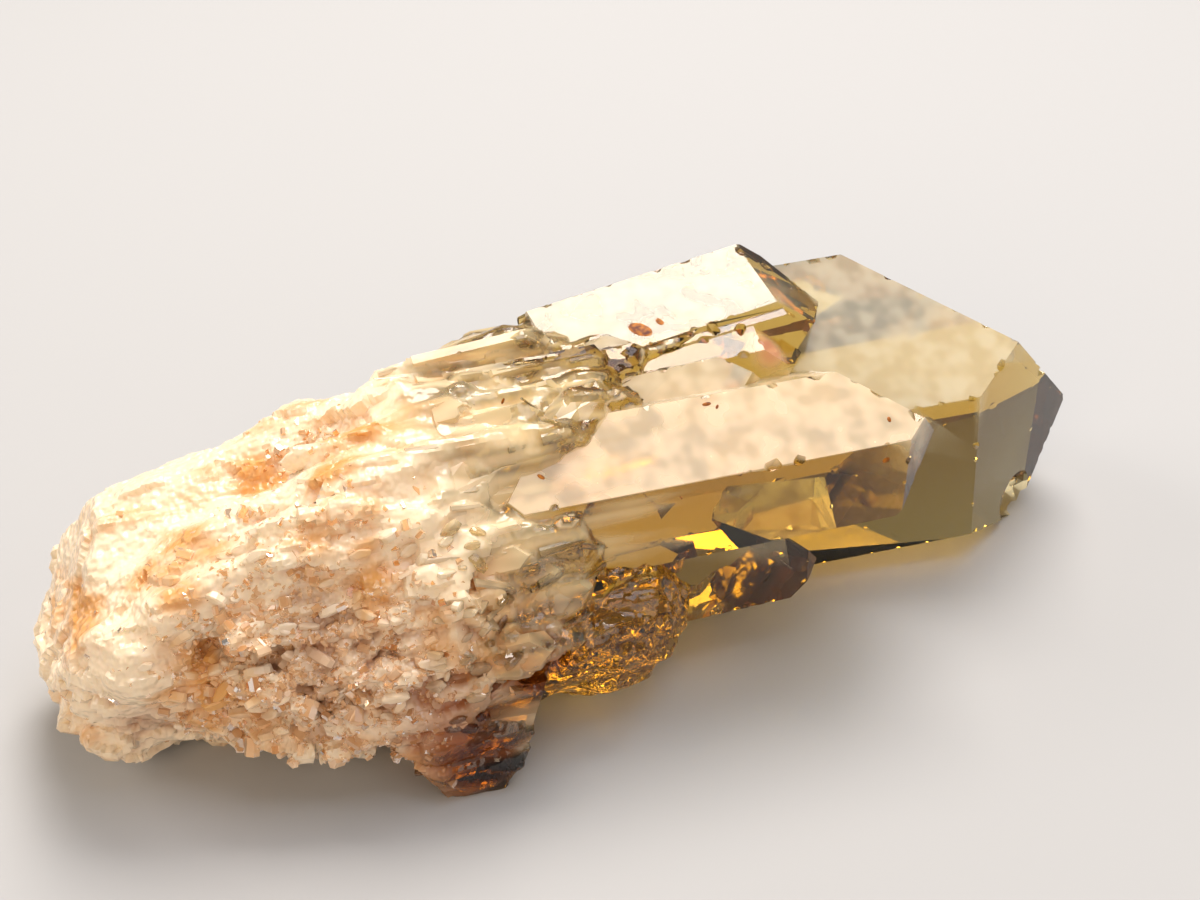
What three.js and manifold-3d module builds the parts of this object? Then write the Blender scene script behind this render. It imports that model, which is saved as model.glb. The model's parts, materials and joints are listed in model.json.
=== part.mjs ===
// A citrine specimen in one piece: a bundle of quartz crystals, grown side by side out of a broken
// milky root, lying on its side. Millimetres, +Z up, +X from the root towards the crystal tips.
import * as THREE from "three";
import { ConvexGeometry } from "three/addons/geometries/ConvexGeometry.js";
import { ImprovedNoise } from "three/addons/math/ImprovedNoise.js";
import { mergeVertices } from "three/addons/utils/BufferGeometryUtils.js";
import Module from "manifold-3d";

const wasm = await Module();
wasm.setup();

// Quartz: the angle between a prism face and the rhombohedral face above it, and the turn between faces.
const RHOMB_TILT = THREE.MathUtils.degToRad(38.2);
const SIXTH_TURN = Math.PI / 3;

// The distance that stands for a rhombohedral face that never grew.
const UNDEVELOPED = 1000;

// How far the slanting faces at a crystal's broken lower end lean outwards.
const BREAK_SLOPE = 0.9;

// The crystals. tip is where the main rhombohedral faces meet, yaw turns the crystal's long axis
// from +X towards +Y and pitch lifts it, in degrees. roll turns prism face 0 from facing -Y (0)
// towards facing +Z (90). prism holds how far each of the six prism faces lies from the long axis,
// and rhomb how far beyond the tip each of the six rhombohedral faces lies.
const CRYSTALS = [
  {
    name: "main crystal, the largest",
    tip: [48.2, 4, 10.2],
    yaw: -5.9,
    pitch: 4,
    roll: 1.2,
    length: 45,
    prism: [10.4, 11.1, 13.7, 8, 5.6, 11.2],
    rhomb: [0, UNDEVELOPED, -1.9, UNDEVELOPED, 0.4, UNDEVELOPED],
  },
  {
    name: "front crystal",
    tip: [26.7, -9.5, 16.9],
    yaw: 0,
    pitch: 0,
    roll: 0,
    length: 35,
    prism: [2.5, 3.1, 6.2, 9, 6, 5.4],
    rhomb: [0, 3, 0.6, UNDEVELOPED, 0, 2],
  },
  {
    name: "upper crystal",
    tip: [23.2, 4.5, 21.1],
    yaw: 6,
    pitch: 6,
    roll: 75,
    length: 26,
    prism: [3.6, 7, 8, 8, 6, 2.6],
    rhomb: [0, 3, 1.5, UNDEVELOPED, 0, 2],
  },
  {
    name: "narrow crystal against the upper one",
    tip: [20.2, 2.2, 22.4],
    yaw: 5,
    pitch: 4,
    roll: 75,
    length: 24,
    prism: [0.9, 1.5, 2.5, 3, 3, 0.9],
    rhomb: [0, 2, 0.5, UNDEVELOPED, 0, 2],
  },
  {
    name: "pale middle crystal",
    tip: [20.1, 0.6, 19.6],
    yaw: 0,
    pitch: 3,
    roll: 72,
    length: 34,
    prism: [3, 4, 4, 5, 5, 2.4],
    rhomb: [0, 1, 0.6, UNDEVELOPED, 0, 0.6],
  },
  {
    name: "grey middle crystal",
    tip: [15.4, -2, 19.9],
    yaw: 1,
    pitch: 3,
    roll: 0,
    length: 34,
    prism: [2.4, 2, 2.4, 4, 4, 4],
    rhomb: [0.4, UNDEVELOPED, 0, UNDEVELOPED, 0, 2],
  },
  {
    name: "low front crystal",
    tip: [16.8, -7.6, 7.2],
    yaw: 1,
    pitch: 0,
    roll: 4,
    length: 28,
    prism: [2.8, 5.2, 6, 6, 5, 3.6],
    rhomb: [2.2, 3, 0, 2, 0, 2],
  },
  {
    name: "blade on the crest",
    tip: [6.8, 0.8, 21.8],
    yaw: 12,
    pitch: 7,
    roll: 62,
    length: 26,
    prism: [1.4, 2.6, 3, 3, 3, 2.4],
    rhomb: [0.6, 0.8, 0, 1, 0, 0.5],
  },
  {
    name: "blade above the front crystal",
    tip: [4, -5.6, 20.2],
    yaw: 11,
    pitch: 8,
    roll: 34,
    length: 26,
    prism: [1.8, 1.5, 2.4, 3, 3, 2.4],
    rhomb: [0.3, 1, 0, 1, 0, 0.5],
  },
  {
    name: "blade left of the front crystal",
    tip: [-1, -11.2, 16.6],
    yaw: 8,
    pitch: 7,
    roll: 18,
    length: 14,
    prism: [1.8, 2, 2.4, 3, 3, 2.6],
    rhomb: [0.3, 1, 0, 1, 0, 0.5],
  },
  {
    name: "first back crystal",
    tip: [31, 12.4, 13.5],
    yaw: 1,
    pitch: -1,
    roll: 20,
    length: 29,
    prism: [6, 3.4, 3.2, 3.4, 5, 6],
    rhomb: [0, 1.2, 0, 2, 0, 1.4],
  },
  {
    name: "second back crystal",
    tip: [21, 13.6, 6.2],
    yaw: 5,
    pitch: -2,
    roll: 50,
    length: 20,
    prism: [5, 4, 3.2, 2.8, 3, 5],
    rhomb: [0, 0.8, 0, 1.6, 0, 1.2],
  },
  {
    name: "third back crystal",
    tip: [13, 12.4, 17.5],
    yaw: 7,
    pitch: 3,
    roll: 5,
    length: 13,
    prism: [4, 3, 2.6, 2.3, 3, 4],
    rhomb: [0, 0.8, 0, 0.6, 0, 1.2],
  },
  {
    name: "small crystal under the back ones",
    tip: [12, 11.5, 2.6],
    yaw: 12,
    pitch: -2,
    roll: 35,
    length: 14,
    prism: [3, 3, 2, 1.8, 2.2, 3],
    rhomb: [0, 0.6, 0, 0.8, 0, 0.5],
  },
];

// The root's cross-sections, from its broken left end to where it runs out among the crystals. middle
// is the section's middle in Y and Z, and reach is how far the eight flats around it lie from there,
// starting at the one that faces -Y and turning towards +Z.
const ROOT_SECTIONS = [
  { x: -41, middle: [-2, 8.8], reach: [6, 7, 6.6, 6.4, 6.2, 6.5, 7, 6] },
  { x: -37, middle: [-2, 8.6], reach: [8.6, 8.6, 8, 7.6, 8, 8, 7.6, 8] },
  { x: -32, middle: [-2.4, 9], reach: [10.4, 9.8, 9.2, 9.2, 9.4, 9.4, 8.2, 10.2] },
  { x: -24, middle: [-4, 9.8], reach: [11.4, 10.4, 10.6, 10.9, 11.4, 10.4, 9, 12.9] },
  { x: -12, middle: [-5, 11], reach: [13, 11.7, 12.4, 13.9, 15.4, 12, 11, 14.6] },
  { x: -2, middle: [-2, 12], reach: [12, 10.9, 11.4, 13, 16.8, 14, 12, 13.5] },
  { x: 8, middle: [2, 12.5], reach: [9, 7.4, 8.4, 10.4, 15.4, 13, 11.6, 12] },
  { x: 17, middle: [4, 12], reach: [6, 3, 4, 6, 11, 10, 9, 9] },
];
const ROOT_START = ROOT_SECTIONS[0].x;
const ROOT_END = ROOT_SECTIONS.at(-1).x;
const ROOT_ROUNDNESS = 9;
const ROOT_STEPS_ROUND = 49;
const ROOT_STEPS_LONG = 38;

// How far from each end of the root its sections reach full size, and how square the ends are.
const ROOT_ENDS = { left: 6, right: 17, squareness: 2.4 };

// Relief on the root: each raises (or, below zero, sinks) the surface along a line from one point to another.
const RELIEF = [
  { name: "long rib", from: [-31, -10, 16], to: [2, -5, 20.5], width: 2.7, height: 2 },
  { name: "groove above the rib", from: [-32, -5, 19], to: [-4, -2, 22], width: 2.4, height: -1.2 },
  { name: "groove under the rib", from: [-29, -13, 13], to: [-8, -15, 15], width: 2.4, height: -1.8 },
  { name: "upper hollow", from: [-21.5, -1.5, 20], to: [-18, -1, 21], width: 2.2, height: -1.6 },
  { name: "rib on the crest", from: [-22, 4, 20], to: [-4, 6, 24], width: 2.5, height: 1.1 },
  { name: "back groove", from: [-30, 7, 12], to: [2, 14, 14], width: 3, height: -1.8 },
  { name: "back rib", from: [-24, 8, 6], to: [4, 15, 8], width: 2.6, height: 1.4 },
];

// Coarse and fine unevenness of the broken surface, drawn out along the crystals.
const UNEVENNESS = [
  { along: 15, across: 5, height: 2.1 },
  { along: 5, across: 2.1, height: 0.9 },
];
const NOISE_START = 3.7;

// Rounded or broken masses on the root, each a squashed ball with few or many flats round and across.
const MASSES = [
  { name: "white bump", at: [-33, -8.2, 10.6], size: [5.6, 5.2, 5], turn: 10, flats: [13, 9] },
  { name: "lower rim", at: [-34, -6.5, 4.2], size: [6.2, 4.4, 3.6], turn: 12, flats: [12, 8] },
  { name: "curled lip", at: [-13.8, -14.6, 7.4], size: [8.8, 4, 3], turn: 0, flats: [15, 9] },
  { name: "amber flank", at: [-0.5, -9, 6.5], size: [9.4, 6.7, 5.6], turn: 8, flats: [9, 6] },
  { name: "back foot", at: [-16, 6.5, 3.5], size: [9, 5, 5], turn: 12, flats: [9, 6] },
];

// The clear brown foot under the lip: the corners of its flat fracture faces.
const FOOT_CORNERS = [
  [-13.3, -18.1, -1],
  [-10.7, -18.5, -1],
  [-9.6, -13, -1],
  [-13.8, -12.6, -1],
  [-14.9, -18.7, 2.7],
  [-18.4, -16.9, 6.4],
  [-12.4, -18, 6.6],
  [-8.5, -18.4, 1.8],
  [-7.1, -17.5, 5.6],
  [-5.2, -15.6, 8.6],
  [-17.6, -10.8, 8],
  [-6, -10.8, 8],
];

// Flat fractures: each takes off all that lies beyond a point of the root in the direction it faces.
const FRACTURES = [
  { name: "left end", at: [-39.8, -2, 7], facing: [-1, -0.1, -0.05] },
  { name: "left end, top", at: [-37.6, 0, 12.1], facing: [-0.88, 0, 0.476] },
  { name: "left end, front", at: [-38.6, -8.5, 12], facing: [-0.75, -0.6, 0.3] },
  { name: "left end, under", at: [-38, -4, 2.4], facing: [-0.6, -0.3, -0.75] },
  { name: "left end, back", at: [-36, 5, 9], facing: [-0.55, 0.8, -0.1] },
  { name: "back, low", at: [-22, 6.5, 3], facing: [-0.1, 0.72, -0.68] },
  { name: "back, high", at: [-14, 8.6, 18.6], facing: [-0.2, 0.75, 0.63] },
];

// Shell-shaped chips out of the crystals' edges: each is a flattened ball that is cut away.
const CHIPS = [
  { name: "main tip, low", at: [41, -1.6, 2.4], size: [2.6, 2, 2.4], turn: 35 },
  { name: "main tip, end", at: [48.2, 3.8, 9.2], size: [1.3, 2, 1.8], turn: 20 },
  { name: "main, upper edge", at: [40.4, 0.4, 18.8], size: [3, 0.9, 1.2], turn: 35 },
  { name: "front crystal, upper edge", at: [21.6, -5.4, 23.4], size: [3, 1.5, 1.2], turn: 0 },
  { name: "front crystal, tip", at: [27.6, -9, 18.6], size: [1.3, 1.6, 1.2], turn: 20 },
  { name: "upper crystal, back", at: [8, 9, 26.6], size: [4.6, 2, 1.8], turn: 8 },
];

// Hollows cut into the specimen between its parts, the same shape as the chips.
const PITS = [
  { name: "dark cavity over the foot", at: [-6.3, -15, 8.7], size: [2.5, 3.4, 1.5], turn: 10 },
];

// Patches of small crystals and splinters on the root. Each patch lies between two places along the
// root and two angles around it, in degrees from -Y towards +Z. width is half the thickness, length
// the number of half thicknesses, forward how much more they point towards the tips than outwards.
const PATCHES = [
  {
    name: "splinters running into the crystals",
    along: [-17, 9],
    around: [20, 108],
    count: 32,
    width: [0.5, 1.3],
    length: 11,
    forward: 8,
    scatter: 1.6,
  },
  {
    name: "splinters above the front hollow",
    along: [-20, 4],
    around: [-4, 34],
    count: 18,
    width: [0.5, 1],
    length: 8,
    forward: 6,
    scatter: 1.8,
  },
  {
    name: "glassy plates",
    along: [-17, -3],
    around: [-30, 2],
    count: 12,
    width: [0.7, 1.4],
    length: 4.5,
    forward: 3.4,
    scatter: 1.8,
  },
  {
    name: "front hollow",
    along: [-28, -14],
    around: [-50, 8],
    count: 16,
    width: [0.5, 1.3],
    length: 3.4,
    forward: 1.1,
    scatter: 1.2,
  },
  {
    name: "back",
    along: [-26, 6],
    around: [135, 215],
    count: 20,
    width: [0.6, 1.5],
    length: 6,
    forward: 3,
    scatter: 1.6,
  },
];

// A small crystal's face distances, as shares of half its thickness.
const UNEVEN_PRISM = [1, 0.7, 1.1, 0.9, 1, 0.75];
const UNEVEN_RHOMB = [0, 0.3, 0, 0.4, 0, 0.2];

const FLOOR = 0;

function solidOf(geometry) {
  const bare = geometry.index ? geometry.toNonIndexed() : geometry.clone();
  bare.deleteAttribute("normal");
  bare.deleteAttribute("uv");
  const merged = mergeVertices(bare, 1e-4);
  return new wasm.Manifold(
    new wasm.Mesh({
      numProp: 3,
      vertProperties: merged.attributes.position.array,
      triVerts: new Uint32Array(merged.index.array),
    }),
  );
}

function geometryOf(solid) {
  const mesh = solid.getMesh();
  return new THREE.BufferGeometry()
    .setAttribute("position", new THREE.BufferAttribute(new Float32Array(mesh.vertProperties), 3))
    .setIndex(new THREE.BufferAttribute(new Uint32Array(mesh.triVerts), 1));
}

// The convex polyhedron inside a set of planes: every corner where three planes meet and no other cuts.
function polyhedronInside(planes) {
  const corners = [];
  const crossing = new THREE.Matrix3();
  for (let i = 0; i < planes.length; i++)
    for (let j = i + 1; j < planes.length; j++)
      for (let k = j + 1; k < planes.length; k++) {
        const [a, b, c] = [planes[i], planes[j], planes[k]];
        crossing.set(...a.normal, ...b.normal, ...c.normal);
        if (Math.abs(crossing.determinant()) < 1e-6) continue;
        const corner = new THREE.Vector3(-a.constant, -b.constant, -c.constant);
        corner.applyMatrix3(crossing.invert());
        if (planes.every((plane) => plane.distanceToPoint(corner) < 1e-5)) corners.push(corner);
      }
  return new ConvexGeometry(corners);
}

// A quartz crystal with its long axis along local +X and its tip at the origin. Its rooted end is
// broken to a blunt point by three slanting faces.
function quartzPoint({ length, prism, rhomb }) {
  const axis = new THREE.Vector3(1, 0, 0);
  const planes = [];
  prism.forEach((distance, face) => {
    const angle = face * SIXTH_TURN;
    const outward = new THREE.Vector3(0, -Math.cos(angle), Math.sin(angle));
    planes.push(new THREE.Plane(outward, -distance));
    const sloping = outward.clone().multiplyScalar(Math.cos(RHOMB_TILT));
    sloping.addScaledVector(axis, Math.sin(RHOMB_TILT));
    if (rhomb[face] < UNDEVELOPED) planes.push(new THREE.Plane(sloping, -rhomb[face]));
    const breaking = outward.clone().multiplyScalar(BREAK_SLOPE).sub(axis).normalize();
    if (face % 2 === 0) planes.push(new THREE.Plane(breaking, -length * Math.abs(breaking.x)));
  });
  return polyhedronInside(planes);
}

function placedCrystal(crystal) {
  const { tip, yaw, pitch, roll } = crystal;
  const [turn, lift, spin] = [yaw, -pitch, -roll].map(THREE.MathUtils.degToRad);
  const place = new THREE.Matrix4().makeTranslation(...tip);
  place.multiply(new THREE.Matrix4().makeRotationZ(turn));
  place.multiply(new THREE.Matrix4().makeRotationY(lift));
  place.multiply(new THREE.Matrix4().makeRotationX(spin));
  return solidOf(quartzPoint(crystal).applyMatrix4(place));
}

// The root's section at x: its middle and its eight reaches, between the two nearest given sections.
function sectionAt(x) {
  const last = ROOT_SECTIONS.length - 1;
  const next = THREE.MathUtils.clamp(ROOT_SECTIONS.findIndex((section) => section.x > x), 1, last);
  const [a, b] = [ROOT_SECTIONS[next - 1], ROOT_SECTIONS[next]];
  const share = THREE.MathUtils.clamp((x - a.x) / (b.x - a.x), 0, 1);
  const between = (p, q) => THREE.MathUtils.lerp(p, q, share);
  return {
    middle: a.middle.map((value, i) => between(value, b.middle[i])),
    reach: a.reach.map((value, i) => between(value, b.reach[i])),
  };
}

// How far the section's outline lies from its middle at an angle: a softened eight-sided polygon.
function outlineRadius(reach, angle) {
  const eighth = Math.PI / 4;
  const pull = reach.reduce((sum, distance, side) => {
    const facing = Math.max(0, Math.cos(angle - side * eighth));
    return sum + Math.pow(facing / distance, ROOT_ROUNDNESS);
  }, 0);
  return Math.pow(pull, -1 / ROOT_ROUNDNESS);
}

const noise = new ImprovedNoise();

function unevennessAt(point) {
  return UNEVENNESS.reduce((sum, { along, across, height }) => {
    const value = noise.noise(point.x / along + NOISE_START, point.y / across, point.z / across);
    return sum + height * value;
  }, 0);
}

function reliefAt(point) {
  const nearest = new THREE.Vector3();
  return RELIEF.reduce((sum, { from, to, width, height }) => {
    const line = new THREE.Line3(new THREE.Vector3(...from), new THREE.Vector3(...to));
    line.closestPointToPoint(point, true, nearest);
    const distance = nearest.distanceTo(point) / width;
    return sum + height * Math.exp(-distance * distance);
  }, 0);
}

// The share of its full size that the root's section has at x: it closes roundly at both ends.
function swellAt(x) {
  const { left, right, squareness } = ROOT_ENDS;
  const fromLeft = (x - ROOT_START) / left;
  const fromRight = (ROOT_END - x) / right;
  const short = 1 - THREE.MathUtils.clamp(Math.min(fromLeft, fromRight), 0, 1);
  return Math.pow(1 - Math.pow(short, squareness), 1 / squareness);
}

// The point of the root's surface at x, at an angle turning from -Y towards +Z.
function rootSurface(x, angle) {
  const { middle, reach } = sectionAt(x);
  const swell = swellAt(x);
  const outward = new THREE.Vector3(0, -Math.cos(angle), Math.sin(angle));
  const point = new THREE.Vector3(x, ...middle);
  point.addScaledVector(outward, outlineRadius(reach, angle) * swell);
  const shift = unevennessAt(point) + reliefAt(point);
  return point.addScaledVector(outward, shift * swell);
}

function milkyRoot() {
  const ball = new THREE.SphereGeometry(1, ROOT_STEPS_ROUND, ROOT_STEPS_LONG);
  ball.rotateZ(Math.PI / 2);
  const position = ball.attributes.position;
  const point = new THREE.Vector3();
  for (let i = 0; i < position.count; i++) {
    point.fromBufferAttribute(position, i);
    const x = THREE.MathUtils.mapLinear(point.x, -1, 1, ROOT_START, ROOT_END);
    const surface = rootSurface(x, Math.atan2(point.z, -point.y));
    position.setXYZ(i, surface.x, surface.y, surface.z);
  }
  return solidOf(ball);
}

function brokenMass({ at, size, turn, flats }) {
  const lump = new THREE.SphereGeometry(1, ...flats);
  lump.scale(...size).rotateZ(THREE.MathUtils.degToRad(turn)).translate(...at);
  const position = lump.attributes.position;
  const point = new THREE.Vector3();
  const middle = new THREE.Vector3(...at);
  for (let i = 0; i < position.count; i++) {
    point.fromBufferAttribute(position, i);
    const outward = point.clone().sub(middle).normalize();
    point.addScaledVector(outward, unevennessAt(point));
    position.setXYZ(i, point.x, point.y, point.z);
  }
  return solidOf(lump);
}

// The same row of numbers between 0 and 1 each time, so that the specimen never changes.
function seededNumbers(seed) {
  let state = seed;
  return () => {
    state = (state * 16807) % 2147483647;
    return state / 2147483647;
  };
}

// One small crystal of a patch, rooted in the surface, pointing outwards and towards the tips.
function smallCrystal(patch, random) {
  const pick = ([low, high]) => THREE.MathUtils.lerp(low, high, random());
  const x = pick(patch.along);
  const angle = THREE.MathUtils.degToRad(pick(patch.around));
  const base = rootSurface(x, angle);
  const direction = new THREE.Vector3(patch.forward, -Math.cos(angle), Math.sin(angle));
  direction.x += patch.scatter * (random() - 0.5);
  direction.y += patch.scatter * (random() - 0.5);
  direction.z += patch.scatter * (random() - 0.5);
  direction.normalize();
  const half = pick(patch.width);
  const shape = quartzPoint({
    length: patch.length * half,
    prism: UNEVEN_PRISM.map((share) => share * half),
    rhomb: UNEVEN_RHOMB.map((share) => share * half),
  });
  shape.rotateX(random() * SIXTH_TURN);
  const turn = new THREE.Quaternion().setFromUnitVectors(new THREE.Vector3(1, 0, 0), direction);
  const tip = base.addScaledVector(direction, half * (1 + random()));
  return solidOf(shape.applyQuaternion(turn).translate(...tip));
}

function smallCrystals() {
  const random = seededNumbers(11);
  return PATCHES.flatMap((patch) => Array.from({ length: patch.count }, () => smallCrystal(patch, random)));
}

// All the space beyond a point in a direction, as a block far larger than the specimen.
function beyond({ at, facing }) {
  const extent = 200;
  const block = new THREE.BoxGeometry(extent, extent, extent).translate(0, 0, extent / 2);
  const direction = new THREE.Vector3(...facing).normalize();
  const turn = new THREE.Quaternion().setFromUnitVectors(new THREE.Vector3(0, 0, 1), direction);
  return solidOf(block.applyQuaternion(turn).translate(...at));
}

function flattenedBall({ at, size, turn }) {
  const ball = new THREE.IcosahedronGeometry(1, 2);
  ball.scale(...size).rotateZ(THREE.MathUtils.degToRad(turn)).translate(...at);
  return solidOf(ball);
}

const join = (solids) => solids.reduce((whole, next) => whole.add(next));
const cutAway = (solid, cutters) => cutters.reduce((rest, cutter) => rest.subtract(cutter), solid);

const foot = solidOf(new ConvexGeometry(FOOT_CORNERS.map((corner) => new THREE.Vector3(...corner))));
const broken = cutAway(join([milkyRoot(), foot, ...MASSES.map(brokenMass)]), FRACTURES.map(beyond));
const crystals = cutAway(join(CRYSTALS.map(placedCrystal)), CHIPS.map(flattenedBall));
const grown = cutAway(join([broken, crystals, ...smallCrystals()]), PITS.map(flattenedBall));
const ground = beyond({ at: [0, 0, FLOOR], facing: [0, 0, -1] });
const geometry = geometryOf(grown.subtract(ground));

// The origin goes to the middle of the underside of the specimen's bounding box.
geometry.computeBoundingBox();
const middle = geometry.boundingBox.getCenter(new THREE.Vector3());
geometry.translate(-middle.x, -middle.y, -geometry.boundingBox.min.z);

const citrine = new THREE.MeshStandardMaterial({ color: 0xd9b878, roughness: 0.15, metalness: 0 });
const specimen = new THREE.Mesh(geometry, citrine);
specimen.name = "citrine_crystal";

const group = new THREE.Group();
group.add(specimen);

export default group;
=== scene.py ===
"""Dresses the citrine crystal: clear golden quartz points growing out of a broken milky root.

The solid's own faces stay where they are. The crystals keep their flat faces and get worn edges,
the root is broken up into fracture facets, and small crystals, splinters, chips and flecks
are added to it.
"""

import json
import math

import bpy
import numpy as np
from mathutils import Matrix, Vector
from mathutils.bvhtree import BVHTree

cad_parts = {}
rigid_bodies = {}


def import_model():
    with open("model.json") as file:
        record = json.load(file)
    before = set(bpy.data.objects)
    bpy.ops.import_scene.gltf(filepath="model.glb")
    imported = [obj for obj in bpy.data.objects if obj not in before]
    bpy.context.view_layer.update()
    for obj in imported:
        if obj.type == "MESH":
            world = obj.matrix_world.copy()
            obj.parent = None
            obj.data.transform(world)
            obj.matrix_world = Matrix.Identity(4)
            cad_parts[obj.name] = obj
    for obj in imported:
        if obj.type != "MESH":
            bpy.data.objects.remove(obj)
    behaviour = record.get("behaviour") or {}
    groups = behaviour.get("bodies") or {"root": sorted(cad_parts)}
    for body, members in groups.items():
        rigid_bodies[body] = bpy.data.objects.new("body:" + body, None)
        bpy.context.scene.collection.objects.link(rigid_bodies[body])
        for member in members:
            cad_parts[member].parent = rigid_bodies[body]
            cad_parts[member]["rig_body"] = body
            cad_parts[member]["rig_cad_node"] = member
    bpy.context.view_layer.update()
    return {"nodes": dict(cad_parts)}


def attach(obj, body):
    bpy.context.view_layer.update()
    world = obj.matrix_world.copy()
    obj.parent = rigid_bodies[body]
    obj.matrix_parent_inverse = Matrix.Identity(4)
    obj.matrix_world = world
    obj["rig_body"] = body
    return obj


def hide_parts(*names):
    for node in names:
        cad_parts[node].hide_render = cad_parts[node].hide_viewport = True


bl_info = {
    "name": "Citrine crystal",
    "version": (1, 0, 0),
    "blender": (4, 5, 0),
    "location": "View3D > Sidebar > Citrine",
    "description": "Models and lights a citrine specimen on its packed solid",
    "category": "Object",
}

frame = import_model()

MM = 0.001
NODE = "citrine_crystal"

# Places on the specimen in millimetres, each the middle of what is named and how far it spreads.
CAVITY = ((-9.8, -14.5, 8.8), 2.6)
FOOT = ((-15.5, -15, 2.5), 4.6)
FLANK = ((-3, -12, 6), 6.5)
LIP = ((-17, -16.5, 6), 4.5)
UPPER_HOLLOW = ((-23.5, -0.5, 20), 3.2)
LEDGE_BAND = ((-36.5, -10, 7), 3.6)
FRONT_HOLLOW = ((-24, -13.5, 11), 7)
CHIP_BED = ((-13, -14.5, 12.5), 5)
PLATE_BED = ((-31.5, -12.5, 10), 3.6)
UNDER_RIDGE = ((-29, -12, 15), 4)
BROKEN_TIP = ((40, 2, 8), 5)

# Where druse grows, and how thickly.
DRUSE_BEDS = [
    (FRONT_HOLLOW, 1.0),
    (LIP, 0.35),
    (UPPER_HOLLOW, 0.2),
    (UNDER_RIDGE, 0.5),
    (PLATE_BED, 0.5),
]

# Where iron has stained the quartz brown, and how strongly.
IRON_BEDS = [
    (CAVITY, 1.4),
    (FOOT, 1.5),
    (FLANK, 0.45),
    (FRONT_HOLLOW, 0.6),
    (LIP, 0.4),
    (UPPER_HOLLOW, 0.4),
    (LEDGE_BAND, 0.6),
    (CHIP_BED, 0.5),
    (BROKEN_TIP, 0.9),
]

# The middle of the rosy film on a small crystal's point.
ROSY_POINT = (13.2, 0.3, 21.5)

# Frosted crystal faces: a point on the face, its normal, how far it reaches in millimetres, how
# frosted it is and how rosy. On the main crystal's top face the grey frost is partly real haze and partly
# painted reflection.
FROSTED = [
    ((6.256, -8.444, 20.489), (0, -0.5, 0.866), 20, 0.7, 1.0),
    ((9.606, -3.563, 21.231), (0, 0.5, 0.866), 14, 0.5, 1.0),
    ((6.34, 5.882, 23.926), (-0.0734, -0.268, 0.9606), 14, 0.3, 0.0),
    # The main crystal's top face: its grey frost is partly real haze and partly painted reflection, a flat
    # grey standing in for the sky it reflects.
    ((23.957, 2.589, 18.959), (-0.1103, -0.4729, 0.8742), 20, 0.36, 0.0),
    ((5.797, -1.81, 21.465), (-0.0366, -0.5007, 0.8648), 8, 0.45, 0.5),
]

# Iron oxide flecks on the faces: place, width and height in millimetres.
FLECKS = [
    ((5.7, -5.7, 21.5), 0.7, 0.3),
    ((6.4, -6.0, 21.3), 0.4, 0.2),
    ((18.1, -8.7, 17.6), 0.6, 0.45),
    ((18.9, -8.1, 17.9), 0.45, 0.3),
    ((3.9, 3.6, 23.2), 2.0, 1.2),
    ((5.6, 4.0, 23.1), 0.8, 0.5),
    ((-8.8, -2.3, 22.9), 0.5, 0.2),
    ((-7.7, -8.5, 19.9), 0.6, 0.3),
]

# A length in millimetres that is past every side of the specimen.
BEYOND = 60

# Below this height in millimetres nothing is planted, because the floor would cut it.
ABOVE_FLOOR = 1.0

# What quartz is known to do to light.
QUARTZ_IOR = 1.544

# The photograph's viewpoint: degrees, and millimetres in the specimen's frame.
CAMERA_AZIMUTH = -18
CAMERA_ELEVATION = 35
CAMERA_DISTANCE = 132
CAMERA_TARGET = (0.465, 3.039, 13)

# Soft lights: name, place and size in metres, power in watts, and colour.
LIGHTS = [
    ("key from behind and above", (0.102, 0.212, 0.446), 0.27, 6.0, "#fff5ea"),
    ("sky overhead", (0.15, -0.04, 0.55), 0.36, 2.2, "#f4f6ff"),
    ("side from behind left", (-0.45, 0.25, 0.3), 0.3, 2.4, "#fff5ea"),
    ("fill from the front left", (-0.4, -0.5, 0.35), 0.4, 3.2, "#ffe2bd"),
    ("fill from the front right", (0.3, -0.5, 0.35), 0.4, 1.6, "#fff3e4"),
]


def linear(colour):
    """An sRGB hex colour as linear red, green, blue and alpha."""
    channels = [int(colour[i : i + 2], 16) / 255 for i in (1, 3, 5)]
    return (*(c / 12.92 if c <= 0.04045 else ((c + 0.055) / 1.055) ** 2.4 for c in channels), 1.0)


def add(tree, kind, inputs=(), output=0, **settings):
    """Adds a node with its settings, sets or links its inputs, and returns the output asked for."""
    node = tree.nodes.new(kind)
    for name, value in settings.items():
        setattr(node, name, value)
    for name, value in dict(inputs).items():
        if isinstance(value, bpy.types.NodeSocket):
            tree.links.new(value, node.inputs[name])
        else:
            node.inputs[name].default_value = value
    return None if output is None else node.outputs[output]


def new_material(name):
    """An empty node material and its tree."""
    material = bpy.data.materials.new(name)
    material.use_nodes = True
    material.node_tree.nodes.clear()
    return material, material.node_tree


def settings():
    return bpy.context.scene.citrine


def stage_settings():
    return bpy.context.scene.citrine_stage


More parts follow.
